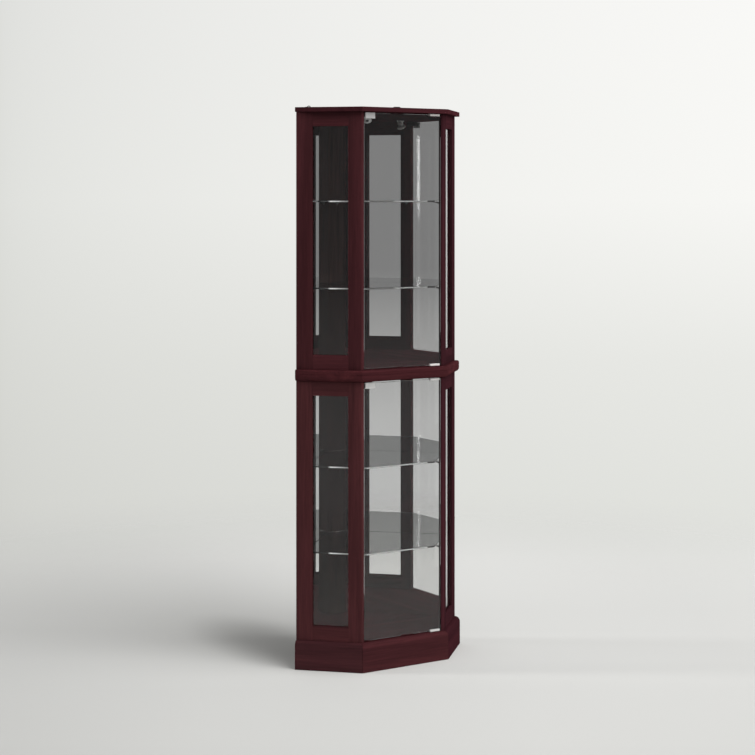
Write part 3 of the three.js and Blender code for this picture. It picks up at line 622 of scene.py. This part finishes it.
def add_world():
    """A plain studio all round, and a narrow bright card that the glass and mirrors reflect."""
    world = bpy.data.worlds.new("studio")
    world.use_nodes = True
    tree = Tree(world.node_tree)
    way = tree.add("ShaderNodeTexCoord", {}, "Generated")
    height = tree.dot(way, UP)
    level = tree.spread(height, TONE_HEIGHTS, 0, 1)
    rightward = tree.spread(tree.dot(way, STAGE_RIGHT), LEFT_TO_RIGHT, 0, 1)
    rightward = tree.maths("POWER", rightward, LEFT_TO_RIGHT_POWER)
    far = tree.mix(rightward, tree.ramp(level, FAR_LEFT_TONES), tree.ramp(level, FAR_RIGHT_TONES))
    backward = tree.spread(tree.dot(way, STAGE_BACK), NEAR_TO_FAR, 0, 1, smooth=True)
    sides = tree.mix(backward, tree.ramp(level, NEAR_TONES), far)
    overhead = tree.spread(height, SIDES_TO_OVERHEAD, 0, 1, smooth=True)
    sky = tree.mix(overhead, sides, OVERHEAD_TONE)

    # Light that has met a matt surface doesn't see the card.
    bounces = tree.add("ShaderNodeLightPath", {}, "Diffuse Depth")
    beside = tree.maths("ABSOLUTE", tree.dot(way, CARD_ACROSS))
    foot = tree.spread(height, CARD_FOOT, 0, CARD_FOOT_SHARE)
    body = tree.spread(height, CARD_BODY, 0, 1 - CARD_FOOT_SHARE)
    card = tree.spread(beside, CARD_EDGE, 1, 0, smooth=True)
    for share in (
        tree.maths("ADD", foot, body),
        tree.spread(height, CARD_TOP, 1, 0),
        tree.maths("GREATER_THAN", tree.dot(way, CARD_WAY), 0.0),
        tree.maths("LESS_THAN", bounces, 0.5),
    ):
        card = tree.maths("MULTIPLY", card, share)
    sky = tree.mix(card, sky, CARD_TONE)
    background = tree.add("ShaderNodeBackground", {"Color": sky, "Strength": 1.0})
    tree.add("ShaderNodeOutputWorld", {"Surface": background})
    bpy.context.scene.world = world


# Floor, in metres. Its tones go from the front to the back, and their rise and fall is painted
# light and shade.
FLOOR_RADIUS = 7
FLOOR_SIDES = 96
FLOOR_FADE = (1.0, 3.5)
FLOOR_DEPTHS = (-1.4, 1.6)
FLOOR_TONES_WITH_PAINTED_LIGHT = (
    (0.0, (0.65, 0.65, 0.63)), (0.12, (0.70, 0.70, 0.68)), (0.31, (0.735, 0.735, 0.715)),
    (0.43, (0.79, 0.79, 0.77)), (0.49, (0.79, 0.79, 0.77)), (0.57, (0.765, 0.765, 0.745)),
    (0.68, (0.785, 0.785, 0.765)), (0.79, (0.815, 0.815, 0.795)), (0.92, (0.85, 0.85, 0.83)),
    (1.0, (0.87, 0.87, 0.85)),
)
# Painted shade: the floor darkens towards the sides.
MIDDLE_TO_SIDE = (0.5, 1.2)
SIDE_PAINTED_SHADE = 0.94
BLACK = (0, 0, 0)

# A soft shade on the floor: its middle, its scale both ways, its fade outwards and its tone.
SHADE_PLACE = (-0.21, 0.29, 0)
SHADE_SCALE = (4.0, 1.8, 0)
SHADE_FADE = (0.2, 1.0)
SHADE_STRENGTH = 0.70


def studio_floor(tree):
    """Paper that fades out with distance, painted with light and shade: a fall of tone from front
    to back, darker towards the sides, and a soft shade.
    """
    place = tree.place()
    fade = tree.spread(tree.length(place), FLOOR_FADE, 0, 1, smooth=True)
    depth = tree.spread(tree.dot(place, STAGE_BACK), FLOOR_DEPTHS, 0, 1)
    beside = tree.maths("ABSOLUTE", tree.dot(place, STAGE_RIGHT))
    sideways = tree.spread(beside, MIDDLE_TO_SIDE, 1.0, SIDE_PAINTED_SHADE)
    from_shade = tree.vector("SUBTRACT", place, SHADE_PLACE)
    from_shade = tree.length(tree.vector("MULTIPLY", from_shade, SHADE_SCALE))
    shade = tree.spread(from_shade, SHADE_FADE, SHADE_STRENGTH, 1.0, smooth=True)
    strength = tree.maths("MULTIPLY", sideways, shade)
    tone = tree.mix(strength, BLACK, tree.ramp(depth, FLOOR_TONES_WITH_PAINTED_LIGHT))
    paper = tree.add("ShaderNodeBsdfDiffuse", {"Color": tone})
    return tree.mix_shaders(fade, paper, tree.add("ShaderNodeBsdfTransparent", {}))


def add_floor():
    bm = bmesh.new()
    bmesh.ops.create_circle(bm, cap_ends=True, segments=FLOOR_SIDES, radius=FLOOR_RADIUS)
    mesh = bpy.data.meshes.new("floor")
    bm.to_mesh(mesh)
    bm.free()
    mesh.materials.append(surface("studio_floor", studio_floor))
    floor = bpy.data.objects.new("floor", mesh)
    bpy.context.scene.collection.objects.link(floor)


KEY_PLACE = (2.32, -5.15, 5.66)
KEY_TARGET = (0, 0, 0.3)
KEY_SIZE = 9.2
KEY_POWER = 612


def add_key_light():
    """One broad light. Reflections leave it out, or its disk would show in the doors."""
    data = bpy.data.lights.new("key", "AREA")
    data.shape = "DISK"
    data.size = KEY_SIZE
    data.energy = KEY_POWER
    light = bpy.data.objects.new("key", data)
    light.visible_glossy = False
    light.location = KEY_PLACE
    aim = Vector(KEY_TARGET) - Vector(KEY_PLACE)
    light.rotation_euler = aim.to_track_quat("-Z", "Y").to_euler()
    bpy.context.scene.collection.objects.link(light)


add_camera()
dress_cabinet()
add_world()
add_floor()
add_key_light()

scene = bpy.context.scene
scene.view_settings.view_transform = "Standard"
scene.view_settings.look = "None"
